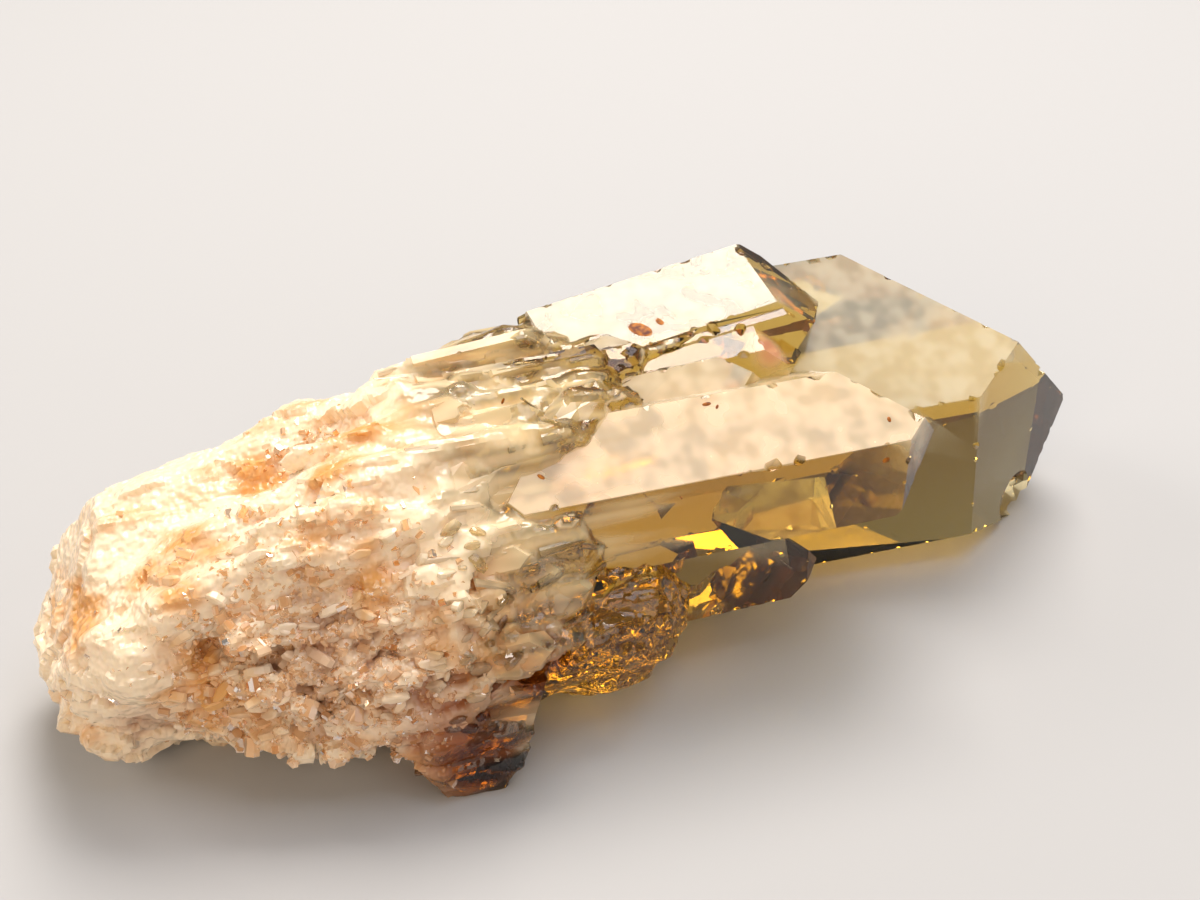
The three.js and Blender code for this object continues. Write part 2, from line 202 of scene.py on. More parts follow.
def quartz_material():
    """Citrine, natural quartz: golden and clear in the points, full of milky veils at the root.

    Its faces are glossy like glass, the fractures of the root glitter from many small flats, and
    iron has stained the hollows brown.
    """
    look = settings()
    material, tree = new_material("citrine quartz")
    math_node, ramp, mix = "ShaderNodeMath", "ShaderNodeMapRange", "ShaderNodeMix"
    smooth = {"interpolation_type": "SMOOTHSTEP"}
    colour_mix = {"data_type": "RGBA", "output": 2}
    place = add(tree, "ShaderNodeTexCoord", output=3)
    place = add(tree, "ShaderNodeMapping", {"Vector": place, "Scale": (1 / MM, 1 / MM, 1 / MM)})
    lengthwise = {"Vector": place, "Scale": (1 / 8, 1, 1), "Rotation": (0, 0, 0.05)}
    drawn = add(tree, "ShaderNodeMapping", lengthwise)
    along = add(tree, "ShaderNodeSeparateXYZ", {0: place})
    iron = add(tree, "ShaderNodeAttribute", attribute_name="iron", output=2)
    frost = add(tree, "ShaderNodeAttribute", attribute_name="frost", output=2)
    broken = add(tree, "ShaderNodeAttribute", attribute_name="broken", output=2)
    blush = add(tree, "ShaderNodeAttribute", attribute_name="blush", output=2)
    milk = add(tree, "ShaderNodeAttribute", attribute_name="milk", output=2)

    # Milky streaks about 1.3 mm wide and 10 mm long run along the crystals, and cloudy patches are
    # about 6 mm across.
    streaks = add(tree, "ShaderNodeTexNoise", {"Vector": drawn, "Scale": 1 / 1.3, "Detail": 1.0})
    cloudy = {"Vector": place, "Scale": 1 / 6, "Detail": 1.0, "Roughness": 0.6}
    clouds = add(tree, "ShaderNodeTexNoise", cloudy)

    # Frost is thicker in patches about 2 mm across.
    thick = {"Vector": place, "Scale": 1 / 2, "Detail": 1.0, "Roughness": 0.65}
    etched = add(tree, "ShaderNodeTexNoise", thick)
    patchy = add(tree, ramp, {0: etched, 1: 0.3, 2: 0.7, 3: 0.65, 4: 1.2}, **smooth)
    frost = add(tree, math_node, {0: frost, 1: patchy}, operation="MULTIPLY")

    # The crystals grow out of the milk: it thins out from the root towards their points.
    uneven = add(tree, ramp, {0: along, 1: -22.0, 2: 10.0, 3: 0.62, 4: -0.35})
    uneven = add(tree, math_node, {0: streaks, 1: 0.9, 2: uneven}, operation="MULTIPLY_ADD")
    uneven = add(tree, math_node, {0: clouds, 1: 0.5, 2: uneven}, operation="MULTIPLY_ADD")
    uneven = add(tree, math_node, {0: uneven, 1: milk}, operation="ADD")
    milky = add(tree, ramp, {0: uneven, 1: 0.55, 2: 1.25}, **smooth)
    stained = add(tree, math_node, {0: clouds, 1: 0.9, 2: iron}, operation="MULTIPLY_ADD")
    stained = add(tree, ramp, {0: stained, 1: 0.7, 2: 1.7}, **smooth)

    warm = add(tree, math_node, {0: streaks, 1: 0.35, 2: clouds}, operation="MULTIPLY_ADD")
    warm = add(tree, ramp, {0: warm, 1: 0.46, 2: 0.74}, **smooth)
    honeyed = add(tree, ramp, {0: along, 1: -20.0, 2: -4.0}, **smooth)
    pale = add(tree, mix, {0: honeyed, 6: look.milk_pale, 7: look.milk_honey}, **colour_mix)
    cream = add(tree, mix, {0: warm, 6: look.milk_warm, 7: pale}, **colour_mix)
    # Frost colour: on the main crystal's top face this pale grey is partly painted reflection of the sky,
    # and partly real frosted haze.
    frost_and_reflection_colour = add(tree, mix, {0: blush, 6: look.frost_and_reflection_grey, 7: look.frost_rosy}, **colour_mix)
    clear_body = add(tree, mix, {0: frost, 6: look.clear_tint, 7: frost_and_reflection_colour}, **colour_mix)
    body = add(tree, mix, {0: milky, 6: clear_body, 7: cream}, **colour_mix)
    body = add(tree, mix, {0: stained, 6: body, 7: look.iron_stain}, **colour_mix)

    # One small crystal's point is rosy from a film of iron oxide about 2 mm across.
    rosy = add(tree, "ShaderNodeVectorMath", {0: place, 1: ROSY_POINT}, output=1, operation="DISTANCE")
    rosy = add(tree, ramp, {0: rosy, 1: 0.5, 2: 2.2, 3: 0.85, 4: 0.0}, **smooth)
    body = add(tree, mix, {0: rosy, 6: body, 7: look.rose}, **colour_mix)

    # Grains of the broken crust. Real ones go down to 0.1 mm, but these are drawn 0.5 mm across to show.
    grain = add(tree, "ShaderNodeTexNoise", {"Vector": place, "Scale": 1 / 0.5, "Detail": 0.0})
    crust = add(tree, math_node, {0: grain, 1: broken}, operation="MULTIPLY")
    normal = add(tree, "ShaderNodeBump", {"Height": crust, "Strength": 0.9, "Distance": 0.3 * MM})

    gloss = add(tree, ramp, {0: milky, 3: 0.03, 4: 0.24})
    gloss = add(tree, math_node, {0: frost, 1: 0.3, 2: gloss}, operation="MULTIPLY_ADD")

    hazy = add(tree, math_node, {0: frost, 1: milky}, operation="MAXIMUM")
    hazy = add(tree, math_node, {0: rosy, 1: 0.7, 2: hazy}, operation="MULTIPLY_ADD")
    clear = add(tree, ramp, {0: hazy, 3: look.crystal_clearness, 4: look.root_clearness})

    shader = add(
        tree,
        "ShaderNodeBsdfPrincipled",
        {
            "Base Color": body,
            "Roughness": gloss,
            "IOR": QUARTZ_IOR,
            "Transmission Weight": clear,
            "Subsurface Weight": look.root_glow,
            "Subsurface Radius": (1.0, 0.8, 0.55),
            "Subsurface Scale": 2 * MM,
            "Normal": normal,
        },
    )
    absorption = {"Color": look.gold, "Density": look.gold_density}
    inside = add(tree, "ShaderNodeVolumeAbsorption", absorption)
    add(tree, "ShaderNodeOutputMaterial", {"Surface": shader, "Volume": inside}, output=None)
    return material


def druse_material():
    """Druse, a crust of tiny quartz crystals.

    Its grains are glassy, some clear and some milky, and iron has stained them in patches.
    """
    look = settings()
    material, tree = new_material("druse quartz")
    math_node, ramp, mix = "ShaderNodeMath", "ShaderNodeMapRange", "ShaderNodeMix"
    place = add(tree, "ShaderNodeTexCoord", output=3)
    place = add(tree, "ShaderNodeMapping", {"Vector": place, "Scale": (1 / MM, 1 / MM, 1 / MM)})
    iron = add(tree, "ShaderNodeAttribute", attribute_name="iron", output=2)
    milky = add(tree, "ShaderNodeAttribute", attribute_name="milk", output=2)
    # Stain patches about 2 mm across.
    clouds = add(tree, "ShaderNodeTexNoise", {"Vector": place, "Scale": 1 / 2, "Detail": 1.0})
    stained = add(tree, math_node, {0: clouds, 1: 0.8, 2: iron}, operation="MULTIPLY_ADD")
    stained = add(tree, ramp, {0: stained, 1: 0.5, 2: 2.0})
    cream = add(tree, mix, {0: clouds, 6: look.milk_pale, 7: look.milk_warm}, data_type="RGBA", output=2)
    body = add(tree, mix, {0: milky, 6: look.druse_tint, 7: cream}, data_type="RGBA", output=2)
    body = add(tree, mix, {0: stained, 6: body, 7: look.iron_stain}, data_type="RGBA", output=2)
    gloss = add(tree, ramp, {0: clouds, 3: 0.02, 4: 0.16})
    clear = add(tree, ramp, {0: milky, 3: 0.95, 4: 0.1})
    shader = add(
        tree,
        "ShaderNodeBsdfPrincipled",
        {"Base Color": body, "Roughness": gloss, "IOR": QUARTZ_IOR, "Transmission Weight": clear},
    )
    add(tree, "ShaderNodeOutputMaterial", {"Surface": shader}, output=None)
    return material


def fleck_material():
    """Goethite, iron oxide grown in thin earthy spots: dull, orange brown to dark red brown."""
    material, tree = new_material("goethite")
    place = add(tree, "ShaderNodeTexCoord", output=3)
    place = add(tree, "ShaderNodeMapping", {"Vector": place, "Scale": (1 / MM, 1 / MM, 1 / MM)})
    grain = add(tree, "ShaderNodeTexNoise", {"Vector": place, "Scale": 1 / 0.4, "Detail": 2.0})
    share = add(tree, "ShaderNodeMapRange", {0: grain, 1: 0.35, 2: 0.65})
    body = {0: share, 6: linear("#b8701a"), 7: linear("#5a2410")}
    colour = add(tree, "ShaderNodeMix", body, data_type="RGBA", output=2)
    shader = {"Base Color": colour, "Roughness": 0.5, "Specular IOR Level": 0.2}
    shader = add(tree, "ShaderNodeBsdfPrincipled", shader)
    add(tree, "ShaderNodeOutputMaterial", {"Surface": shader}, output=None)
    return material


def floor_material():
    """Matt painted board: pale, with no shine, and a very slight unevenness in the paint."""
    material, tree = new_material("painted board")
    place = add(tree, "ShaderNodeTexCoord", output=3)
    paint = add(tree, "ShaderNodeTexNoise", {"Vector": place, "Scale": 30.0, "Detail": 1.0})
    rough = add(tree, "ShaderNodeMapRange", {0: paint, 3: 0.72, 4: 0.88})
    shader = add(
        tree,
        "ShaderNodeBsdfPrincipled",
        {"Base Color": stage_settings().floor_colour, "Roughness": rough, "Specular IOR Level": 0.2},
    )
    add(tree, "ShaderNodeOutputMaterial", {"Surface": shader}, output=None)
    return material


def only(piece):
    """Selects one object and nothing else."""
    bpy.ops.object.select_all(action="DESELECT")
    piece.select_set(True)
    bpy.context.view_layer.objects.active = piece


def shown_as(piece, material):
    """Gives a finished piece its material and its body."""
    piece.data.materials.clear()
    piece.data.materials.append(material)
    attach(piece, "root")


def points_of(mesh):
    """The mesh's vertices in millimetres."""
    flat = np.empty(len(mesh.vertices) * 3)
    mesh.vertices.foreach_get("co", flat)
    return flat.reshape(-1, 3) / MM


def normals_of(mesh):
    flat = np.empty(len(mesh.vertices) * 3)
    mesh.vertex_normals.foreach_get("vector", flat)
    return flat.reshape(-1, 3)


def put_points(mesh, points):
    mesh.vertices.foreach_set("co", (points * MM).ravel())
    mesh.update()


def keep_values(mesh, name, values):
    """Stores one number per vertex under a name that a material reads."""
    layer = mesh.attributes.get(name) or mesh.attributes.new(name, "FLOAT", "POINT")
    layer.data.foreach_set("value", np.asarray(values, np.float32))


def values_of(mesh, name):
    """The number stored per vertex under a name."""
    values = np.empty(len(mesh.vertices), np.float32)
    mesh.attributes[name].data.foreach_get("value", values)
    return values


def nearness(points, place):
    """1 at the middle of a named place, falling smoothly to 0 past its spread."""
    middle, spread = place
    distance = np.linalg.norm(points - np.array(middle), axis=1) / spread
    return np.exp(-(distance**2))


def step(value, low, high):
    """0 below low, 1 above high, smooth between."""
    share = np.clip((value - low) / (high - low), 0, 1)
    return share * share * (3 - 2 * share)


def hashed(cells, salt):
    """A steady random number from 0 to 1 for each whole-numbered cell."""
    mixed = cells[:, 0] * 127.1 + cells[:, 1] * 311.7 + cells[:, 2] * 74.7 + salt * 53.3
    value = np.sin(mixed) * 43758.5453
    return value - np.floor(value)


def facet_shift(points, size, stretch, tilt, ledge, salt):
    """How far each point moves to break a surface into flat facets of about that size.

    Space is split into irregular cells. All points of a cell share one random tilt and one
    ledge height, as the grains of broken quartz do.
    """
    drawn = points / (np.array([stretch, 1, 1]) * size)
    home = np.floor(drawn)
    best = np.full(len(points), 1e9)
    shift = np.zeros(len(points))
    for corner in np.ndindex(3, 3, 3):
        cell = home + np.array(corner) - 1
        seed = cell + np.stack([hashed(cell, salt + i) for i in range(3)], 1)
        away = drawn - seed
        distance = (away**2).sum(1)
        lean = np.stack([hashed(cell, salt + i) for i in range(3, 6)], 1) - 0.5
        height = (hashed(cell, salt + 6) - 0.5) * ledge + (away * lean).sum(1) * 2 * tilt
        nearer = distance < best
        best = np.where(nearer, distance, best)
        shift = np.where(nearer, height, shift)
    return shift * size


def copied_node(name):
    """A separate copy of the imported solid, its loose triangles merged into one closed skin."""
    node = frame["nodes"][NODE]
    piece = node.copy()
    piece.data = node.data.copy()
    piece.name = name
    piece.parent = None
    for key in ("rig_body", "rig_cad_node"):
        if key in piece:
            del piece[key]
    piece.data.materials.clear()
    piece.data.materials.append(None)
    bpy.context.scene.collection.objects.link(piece)
    only(piece)
    bpy.ops.object.mode_set(mode="EDIT")
    bpy.ops.mesh.select_all(action="SELECT")
    bpy.ops.mesh.remove_doubles(threshold=0.002 * MM)
    bpy.ops.mesh.dissolve_limited(angle_limit=math.radians(0.3))
    bpy.ops.mesh.select_all(action="DESELECT")
    bpy.ops.mesh.customdata_custom_splitnormals_clear()
    bpy.ops.object.mode_set(mode="OBJECT")
    return piece


def kept_between(piece, low, high):
    """Keeps the piece's stretch from x = low to high, in millimetres, and closes its ends."""
    bpy.ops.object.select_all(action="DESELECT")
    bpy.ops.mesh.primitive_cube_add(
        size=MM, location=((low + high) / 2 * MM, 0, 10 * MM), scale=(high - low, BEYOND, BEYOND)
    )
    box = bpy.context.object
    applied(piece, "BOOLEAN", operation="INTERSECT", solver="MANIFOLD", object=box)
    bpy.data.objects.remove(box)


def applied(piece, kind, **settings):
    """Adds a modifier with its settings and applies it."""
    only(piece)
    modifier = piece.modifiers.new(kind.lower(), kind)
    for name, value in settings.items():
        setattr(modifier, name, value)
    bpy.ops.object.modifier_apply(modifier=modifier.name)


def wear_edges(piece):
    """Bevels the crystals' long sharp edges, as handling has worn them."""
    mesh = piece.data
    look = settings()
    sharp = set(sharp_edges(mesh))
    for edge in mesh.edges:
        edge.select = edge.key in sharp
    only(piece)
    bpy.ops.object.mode_set(mode="EDIT")
    bpy.ops.mesh.select_mode(type="EDGE")
    bpy.ops.mesh.bevel(offset=look.edge_wear * MM, segments=2, clamp_overlap=True)
    bpy.ops.object.mode_set(mode="OBJECT")


def sharp_edges(mesh):
    """The crystals' long outer edges, as pairs of vertex numbers, each with the way it faces."""
    look = settings()
    faces_of = {}
    for face in mesh.polygons:
        for key in face.edge_keys:
            faces_of.setdefault(key, []).append(face)
    sharp = {}
    for (i, j), faces in faces_of.items():
        length = (mesh.vertices[i].co - mesh.vertices[j].co).length
        if len(faces) == 2 and length > look.shortest_worn_edge * MM:
            bend = faces[0].normal.angle(faces[1].normal)
            outside = (faces[1].center - faces[0].center).dot(faces[0].normal) < 0
            if outside and bend > math.radians(18):
                sharp[i, j] = (faces[0].normal + faces[1].normal).normalized()
    return sharp


def chip_edges(piece, edges):
    """Breaks small shell-shaped chips out along the crystals' edges."""
    look = settings()
    bpy.ops.object.select_all(action="DESELECT")
    bpy.ops.mesh.primitive_ico_sphere_add(subdivisions=1, radius=0.5)
    ball = bpy.context.object
    spacing, smallest, corner_gap = look.chip_spacing, 0.3, 0.5
    random = np.random.default_rng(4)
    places, directions, sizes = [], [], []
    for start, end, outward in edges:
        run = end - start
        length = np.linalg.norm(run)
        position = random.uniform(corner_gap, spacing)
        while position < length - corner_gap:
            width = random.uniform(0.3, 1.0) ** 2 * look.largest_chip + smallest
            place = start + run * position / length + outward * width * random.uniform(0.15, 0.3)
            if place[0] > look.crystals_start and place[2] > 1.5 * ABOVE_FLOOR:
                places.append(place)
                directions.append(outward + random.normal(0, 0.5, 3))
                sizes.append(np.array([1.3, 1.0, 0.8]) * width)
            position += width + random.exponential(spacing)
    chips = planted("chips", ball, places, directions, sizes, random)
    applied(piece, "BOOLEAN", operation="DIFFERENCE", solver="MANIFOLD", object=chips)
    bpy.data.objects.remove(ball)
    bpy.data.objects.remove(chips)


def planted(name, shape, places, directions, sizes, random, sink=0.5, along=None):
    """One piece made of copies of a shape, each standing along its direction with its own size.

    The shape's own height runs along Z and is 1. sink is the share of it below the place. Each
    copy is turned at random, or so that its X lies near along.
    """
    corners = points_of(shape.data) * MM
    faces = [tuple(face.vertices) for face in shape.data.polygons]
    up = np.array(directions, float)
    up /= np.linalg.norm(up, axis=1)[:, None]
    if along is None:
        lie = random.normal(0, 1, up.shape)
    else:
        lie = np.array(along) + random.normal(0, 0.25, up.shape)
    across = np.cross(up, lie)
    across /= np.linalg.norm(across, axis=1)[:, None]
    side = np.cross(across, up)
    axes = np.stack([side, across, up], 1) * np.array(sizes)[:, :, None]
    lifted = corners + (0, 0, 0.5 - sink)
    points = np.einsum("vk,nkc->nvc", lifted, axes) + np.array(places)[:, None, :]
    count = len(corners)
    every = [tuple(i + n * count for i in face) for n in range(len(places)) for face in faces]
    mesh = bpy.data.meshes.new(name)
    mesh.from_pydata((points.reshape(-1, 3) * MM).tolist(), [], every)
    piece = bpy.data.objects.new(name, mesh)
    bpy.context.scene.collection.objects.link(piece)
    return piece


def crystal_faces(piece):
    """A search tree of the piece's skin, and whether each face of it is a flat crystal face."""
    look = settings()
    mesh = piece.data
    corners = [vertex.co / MM for vertex in mesh.vertices]
    faces = [tuple(face.vertices) for face in mesh.polygons]
    large = [
        face.area > look.smallest_crystal_face * MM**2 and face.center.x > look.crystals_start * MM
        for face in mesh.polygons
    ]
    return BVHTree.FromPolygons(corners, faces), np.array(large, float)


def broken_root(skin, is_crystal):
    """The milky root with its splinters, evenly divided, softened and broken into fracture facets.

    Where it runs along a crystal face it lies just below that face.
    """
    look = settings()
    root = copied_node("root")
    kept_between(root, -BEYOND, look.root_end)
    applied(root, "REMESH", mode="VOXEL", voxel_size=look.root_step * MM)
    applied(root, "SMOOTH", factor=0.5, iterations=look.root_rounding)
    mesh = root.data
    points = points_of(mesh)
    normals = normals_of(mesh)
    x, _, z = points.T
    nearest = np.array([skin.find_nearest(point)[2] for point in points])
    smooth_face = neighbour_mean(mesh, is_crystal[nearest], 3)
    drusy = nearness(points, FRONT_HOLLOW) + nearness(points, CHIP_BED)
    calm = step(-x, 18, 34) * step(z, 8, 15)
    bladed = step(x, -24, -12) * (1 - np.clip(drusy, 0, 1))
    coarse = facet_shift(points, look.coarse_facet, stretch=2.2, tilt=0.24, ledge=0.1, salt=1)
    blades = facet_shift(points, look.blade_width, stretch=7.0, tilt=0.32, ledge=0.25, salt=31)
    middle = facet_shift(points, look.middle_facet, stretch=2.0, tilt=0.34, ledge=0.2, salt=31)
    fine = facet_shift(points, look.fine_facet, stretch=1.2, tilt=0.3, ledge=0.3, salt=71)
    shift = coarse * (1 - 0.5 * calm) * (1 - 0.5 * bladed)
    shift += blades * bladed + middle * (1 - bladed) * (1 - 0.7 * calm)
    shift += fine * (0.25 + drusy) * (1 - 0.9 * bladed)
    shift += (neighbour_mean(mesh, shift, 3) - shift) * 0.8 * bladed
    # Just under the crystal faces, and sinking away towards the root's end.
    shift = 0.15 * bladed + shift * (1 - smooth_face) - 0.5 * smooth_face
    shift -= 1.6 * step(x, look.root_end - 12, look.root_end - 1)
    points += normals * shift[:, None]
    points[:, 2] = np.maximum(points[:, 2], 0.0)
    put_points(mesh, points)
    return root


def fused_quartz():
    """The flat-faced crystals and the broken root, joined into one closed skin.

    Returns the piece and, for each vertex, whether it belongs to the broken root.
    """
    look = settings()
    crystals = copied_node("quartz")
    corners = points_of(crystals.data)
    sharp = sharp_edges(crystals.data)
    edges = [(corners[i], corners[j], np.array(outward)) for (i, j), outward in sharp.items()]
    wear_edges(crystals)
    chip_edges(crystals, edges)
    skin, is_crystal = crystal_faces(crystals)
    kept_between(crystals, look.crystals_start, BEYOND)
    root = broken_root(skin, is_crystal)
    known = {tuple(np.round(point, 3)) for point in points_of(root.data)}
    applied(crystals, "BOOLEAN", operation="UNION", solver="MANIFOLD", object=root)
    bpy.data.objects.remove(root)
    points = points_of(crystals.data)
    inner = np.array([tuple(np.round(point, 3)) in known for point in points])
    return crystals, inner


def neighbour_mean(mesh, values, rounds):
    """values averaged over each vertex's neighbours, again and again."""
    pairs = np.empty(len(mesh.edges) * 2, int)
    mesh.edges.foreach_get("vertices", pairs)
    a, b = pairs.reshape(-1, 2).T
    count = np.bincount(a, minlength=len(values)) + np.bincount(b, minlength=len(values))
    count = np.maximum(count, 1)
    for _ in range(rounds):
        total = np.bincount(a, values[b], len(values)) + np.bincount(b, values[a], len(values))
        values = 0.5 * values + 0.5 * total / count
    return values


def hollowness(mesh, points, normals):
    """How deep each vertex lies in a hollow: above 0 in crevices, below 0 on ridges."""
    around = np.stack([neighbour_mean(mesh, points[:, i], 12) for i in range(3)], 1)
    return ((around - points) * normals).sum(1)


def record_surface(piece, inner):
    """Stores where the quartz is milky, iron stained, frosted (on the main crystal's top face partly
    painted reflection), rosy and broken.
    """
    mesh = piece.data
    points = points_of(mesh)
    normals = normals_of(mesh)
    x = points[:, 0]
    root = 1 - step(x, -9, 9)
    bladed = step(x, -24, -12) * (1 - step(x, 2, 14))
    milk = inner * (0.5 - 0.6 * bladed)
    milk -= 0.8 * nearness(points, FOOT) + 0.35 * nearness(points, FLANK)
    milk += 0.2 * nearness(points, CHIP_BED)
    deep = np.clip(neighbour_mean(mesh, hollowness(mesh, points, normals), 3) / 0.12, -1, 1)
    iron = 0.3 * np.clip(deep, 0, 1) * root
    iron += sum(share * nearness(points, bed) for bed, share in IRON_BEDS)
    frost = np.zeros(len(points))
    blush = np.zeros(len(points))
    # Frost marks; on the main crystal's top face they are partly painted reflection of the sky as well as
    # real haze.
    for place, normal, reach, amount, rosy in FROSTED:
        away = points - np.array(place)
        flat = np.abs(away @ (np.array(normal) / np.linalg.norm(normal))) < 0.08
        near = np.linalg.norm(away, axis=1) < reach
        frost = np.maximum(frost, amount * flat * near)
        blush = np.maximum(blush, rosy * flat * near)
    keep_values(mesh, "milk", milk)
    keep_values(mesh, "iron", iron)
    keep_values(mesh, "frost", frost)
    keep_values(mesh, "blush", blush)
    keep_values(mesh, "broken", inner * (0.35 + 0.65 * root) * (1 - 0.8 * bladed))


class CITRINE_OT_quartz(bpy.types.Operator):
    """Models the fused crystals and their root"""

    bl_idname = "citrine.quartz"
    bl_label = "Quartz"

    def execute(self, context):
        piece, inner = fused_quartz()
        record_surface(piece, inner)
        only(piece)
        bpy.ops.object.shade_smooth_by_angle(angle=math.radians(22))
        for face in piece.data.polygons:
            if not inner[face.vertices[0]]:
                face.use_smooth = False
        shown_as(piece, quartz_material())
        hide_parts(NODE)
        return {"FINISHED"}


def small_crystal():
    """One small quartz crystal, 1 across and 1 long: six sides and a six-faced point."""
    bpy.ops.object.select_all(action="DESELECT")
    bpy.ops.mesh.primitive_cylinder_add(vertices=6, radius=0.5, depth=0.55, location=(0, 0, -0.225))
    shape = bpy.context.object
    bpy.ops.object.transform_apply(location=True, rotation=False, scale=False)
    for face in shape.data.polygons:
        face.select = face.normal.z > 0.9
    bpy.ops.object.mode_set(mode="EDIT")
    bpy.ops.mesh.select_mode(type="FACE")
    bpy.ops.mesh.extrude_region_move(TRANSFORM_OT_translate={"value": (0.09, 0.05, 0.45)})
    bpy.ops.mesh.merge(type="CENTER")
    bpy.ops.object.mode_set(mode="OBJECT")
    return shape


def flat_chip():
    """One five-sided chip of quartz, 1 across and 1 thick, with bevelled rims."""
    bpy.ops.object.select_all(action="DESELECT")
    bpy.ops.mesh.primitive_cylinder_add(vertices=5, radius=0.5, depth=1)
    shape = bpy.context.object
    for face in shape.data.polygons:
        face.select = abs(face.normal.z) > 0.9
    bpy.ops.object.mode_set(mode="EDIT")
    bpy.ops.mesh.select_mode(type="FACE")
    bpy.ops.mesh.bevel(offset=0.14, segments=1)
    bpy.ops.object.mode_set(mode="OBJECT")
    return shape


def chosen(random, weights, count):
    """count different vertices, the likelier the heavier their weight."""
    weights = np.maximum(weights, 0)
    return random.choice(len(weights), count, replace=False, p=weights / weights.sum())


def finish_like_root(piece, shape, picked, clearer):
    """Gives each splinter the milk, stain and quartz of the place it is set in, less some milk."""
    root = bpy.data.objects["quartz"].data
    corners = len(shape.data.vertices)
    bpy.data.objects.remove(shape)
    keep_values(piece.data, "milk", np.repeat(values_of(root, "milk")[picked] - clearer, corners))
    keep_values(piece.data, "iron", np.repeat(values_of(root, "iron")[picked], corners))
    shown_as(piece, root.materials[0])


class CITRINE_OT_druse(bpy.types.Operator):
    """Grows the crust of tiny crystals in the hollows of the root"""

    bl_idname = "citrine.druse"
    bl_label = "Druse"

    def execute(self, context):
        count = settings().druse_grains
        random = np.random.default_rng(7)
        mesh = bpy.data.objects["quartz"].data
        points, normals = points_of(mesh), normals_of(mesh)
        broken = (values_of(mesh, "broken") > 0.3) * (points[:, 2] > ABOVE_FLOOR)
        weights = sum(share * nearness(points, bed) for bed, share in DRUSE_BEDS) * broken
        weights += 0.003 * broken * (points[:, 0] < -6)
        weights *= 1 - 0.95 * np.clip(2 * nearness(points, FOOT) + nearness(points, FLANK), 0, 1)
        picked = chosen(random, weights, count)
        # Grains about 0.4 mm wide and 0.8 mm tall stand off the root and lean towards the points.
        directions = normals[picked] + random.normal(0, 0.55, (count, 3)) + (0.3, 0, 0.1)
        width = random.lognormal(math.log(0.42), 0.4, count).clip(0.2, 1.2)
        depth = width * random.uniform(0.6, 1.1, count)
        height = width * random.uniform(1.2, 2.4, count)
        sizes = np.stack([width, depth, height], 1)
        shape = small_crystal()
        piece = planted("druse", shape, points[picked], directions, sizes, random, sink=0.6)
        corners = len(shape.data.vertices)
        bpy.data.objects.remove(shape)
        cloudy = np.clip(random.normal(0.6, 0.3, count), 0, 1)
        keep_values(piece.data, "milk", np.repeat(cloudy, corners))
        iron = sum(share * nearness(points_of(piece.data), bed) for bed, share in IRON_BEDS)
        keep_values(piece.data, "iron", iron)
        shown_as(piece, druse_material())
        return {"FINISHED"}


class CITRINE_OT_splinters(bpy.types.Operator):
    """Lays slim blades of quartz along the crystals, where the root runs into them"""

    bl_idname = "citrine.splinters"
    bl_label = "Splinters"

    def execute(self, context):
        count = settings().splinters
        random = np.random.default_rng(11)
        mesh = bpy.data.objects["quartz"].data
        points, normals = points_of(mesh), normals_of(mesh)
        x, _, z = points.T
        broken = values_of(mesh, "broken") > 0.02
        weights = broken * step(x, -20, -12) * (1 - step(x, 0, 8)) * step(z, 9, 14)
        picked = chosen(random, weights, count)
        # Blades 2 to 5 mm long lie along X, and along the skin.
        directions = np.array([1.0, 0.0, 0.0]) + random.normal(0, 0.05, (count, 3))
        directions -= normals[picked] * (directions * normals[picked]).sum(1)[:, None]
        length = random.uniform(2, 5, count)
        width = random.uniform(0.3, 0.9, count)
        sizes = np.stack([width * random.uniform(0.3, 0.6, count), width, length], 1)
        shape = small_crystal()
        places = points[picked] - normals[picked] * sizes[:, :1] * 0.4
        piece = planted("splinters", shape, places, directions, sizes, random, along=normals[picked])
        finish_like_root(piece, shape, picked, 0.1)
        return {"FINISHED"}


class CITRINE_OT_chips(bpy.types.Operator):
    """Sets glassy broken chips into the front of the root"""

    bl_idname = "citrine.chips"
    bl_label = "Glassy chips"

    def execute(self, context):
        count = settings().glassy_chips
        random = np.random.default_rng(13)
        mesh = bpy.data.objects["quartz"].data
        points, normals = points_of(mesh), normals_of(mesh)
        weights = nearness(points, CHIP_BED) + 0.8 * nearness(points, PLATE_BED)
        weights += 0.25 * nearness(points, FRONT_HOLLOW)
        weights *= (values_of(mesh, "broken") > 0.2) * (points[:, 2] > ABOVE_FLOOR)
        picked = chosen(random, weights, count)
        # Chips 0.4 to 1.1 mm wide and about twice as long lie tilted on the skin.
        directions = normals[picked] + random.normal(0, 0.6, (count, 3))
        width = random.uniform(0.4, 1.1, count)
        sizes = np.stack([width * random.uniform(1.6, 2.8, count), width, width * 0.7], 1)
        shape = flat_chip()
        piece = planted("glassy_chips", shape, points[picked], directions, sizes, random, 0.6, (1, 0, 0.1))
        finish_like_root(piece, shape, picked, 0.3)
        return {"FINISHED"}


class CITRINE_OT_flecks(bpy.types.Operator):
    """Puts the specks of iron oxide on the faces"""

    bl_idname = "citrine.flecks"
    bl_label = "Iron flecks"

    def execute(self, context):
        random = np.random.default_rng(17)
        bpy.ops.object.select_all(action="DESELECT")
        bpy.ops.mesh.primitive_ico_sphere_add(subdivisions=3, radius=0.5)
        shape = context.object
        points = points_of(shape.data)
        shift = facet_shift(points * 4, 1.2, stretch=1.0, tilt=0.5, ledge=0.5, salt=5) * 0.16
        put_points(shape.data, points + normals_of(shape.data) * shift[:, None])
        places = [place for place, _, _ in FLECKS]
        thickness = 0.12
        sizes = [(long, wide, thickness) for _, long, wide in FLECKS]
        skin = bpy.data.objects["quartz"]
        directions = [skin.closest_point_on_mesh(Vector(place) * MM)[2] for place in places]
        places = [np.array(skin.closest_point_on_mesh(Vector(place) * MM)[1]) / MM for place in places]
        piece = planted("iron_flecks", shape, places, directions, sizes, random)
        bpy.data.objects.remove(shape)
        shown_as(piece, fleck_material())
        return {"FINISHED"}


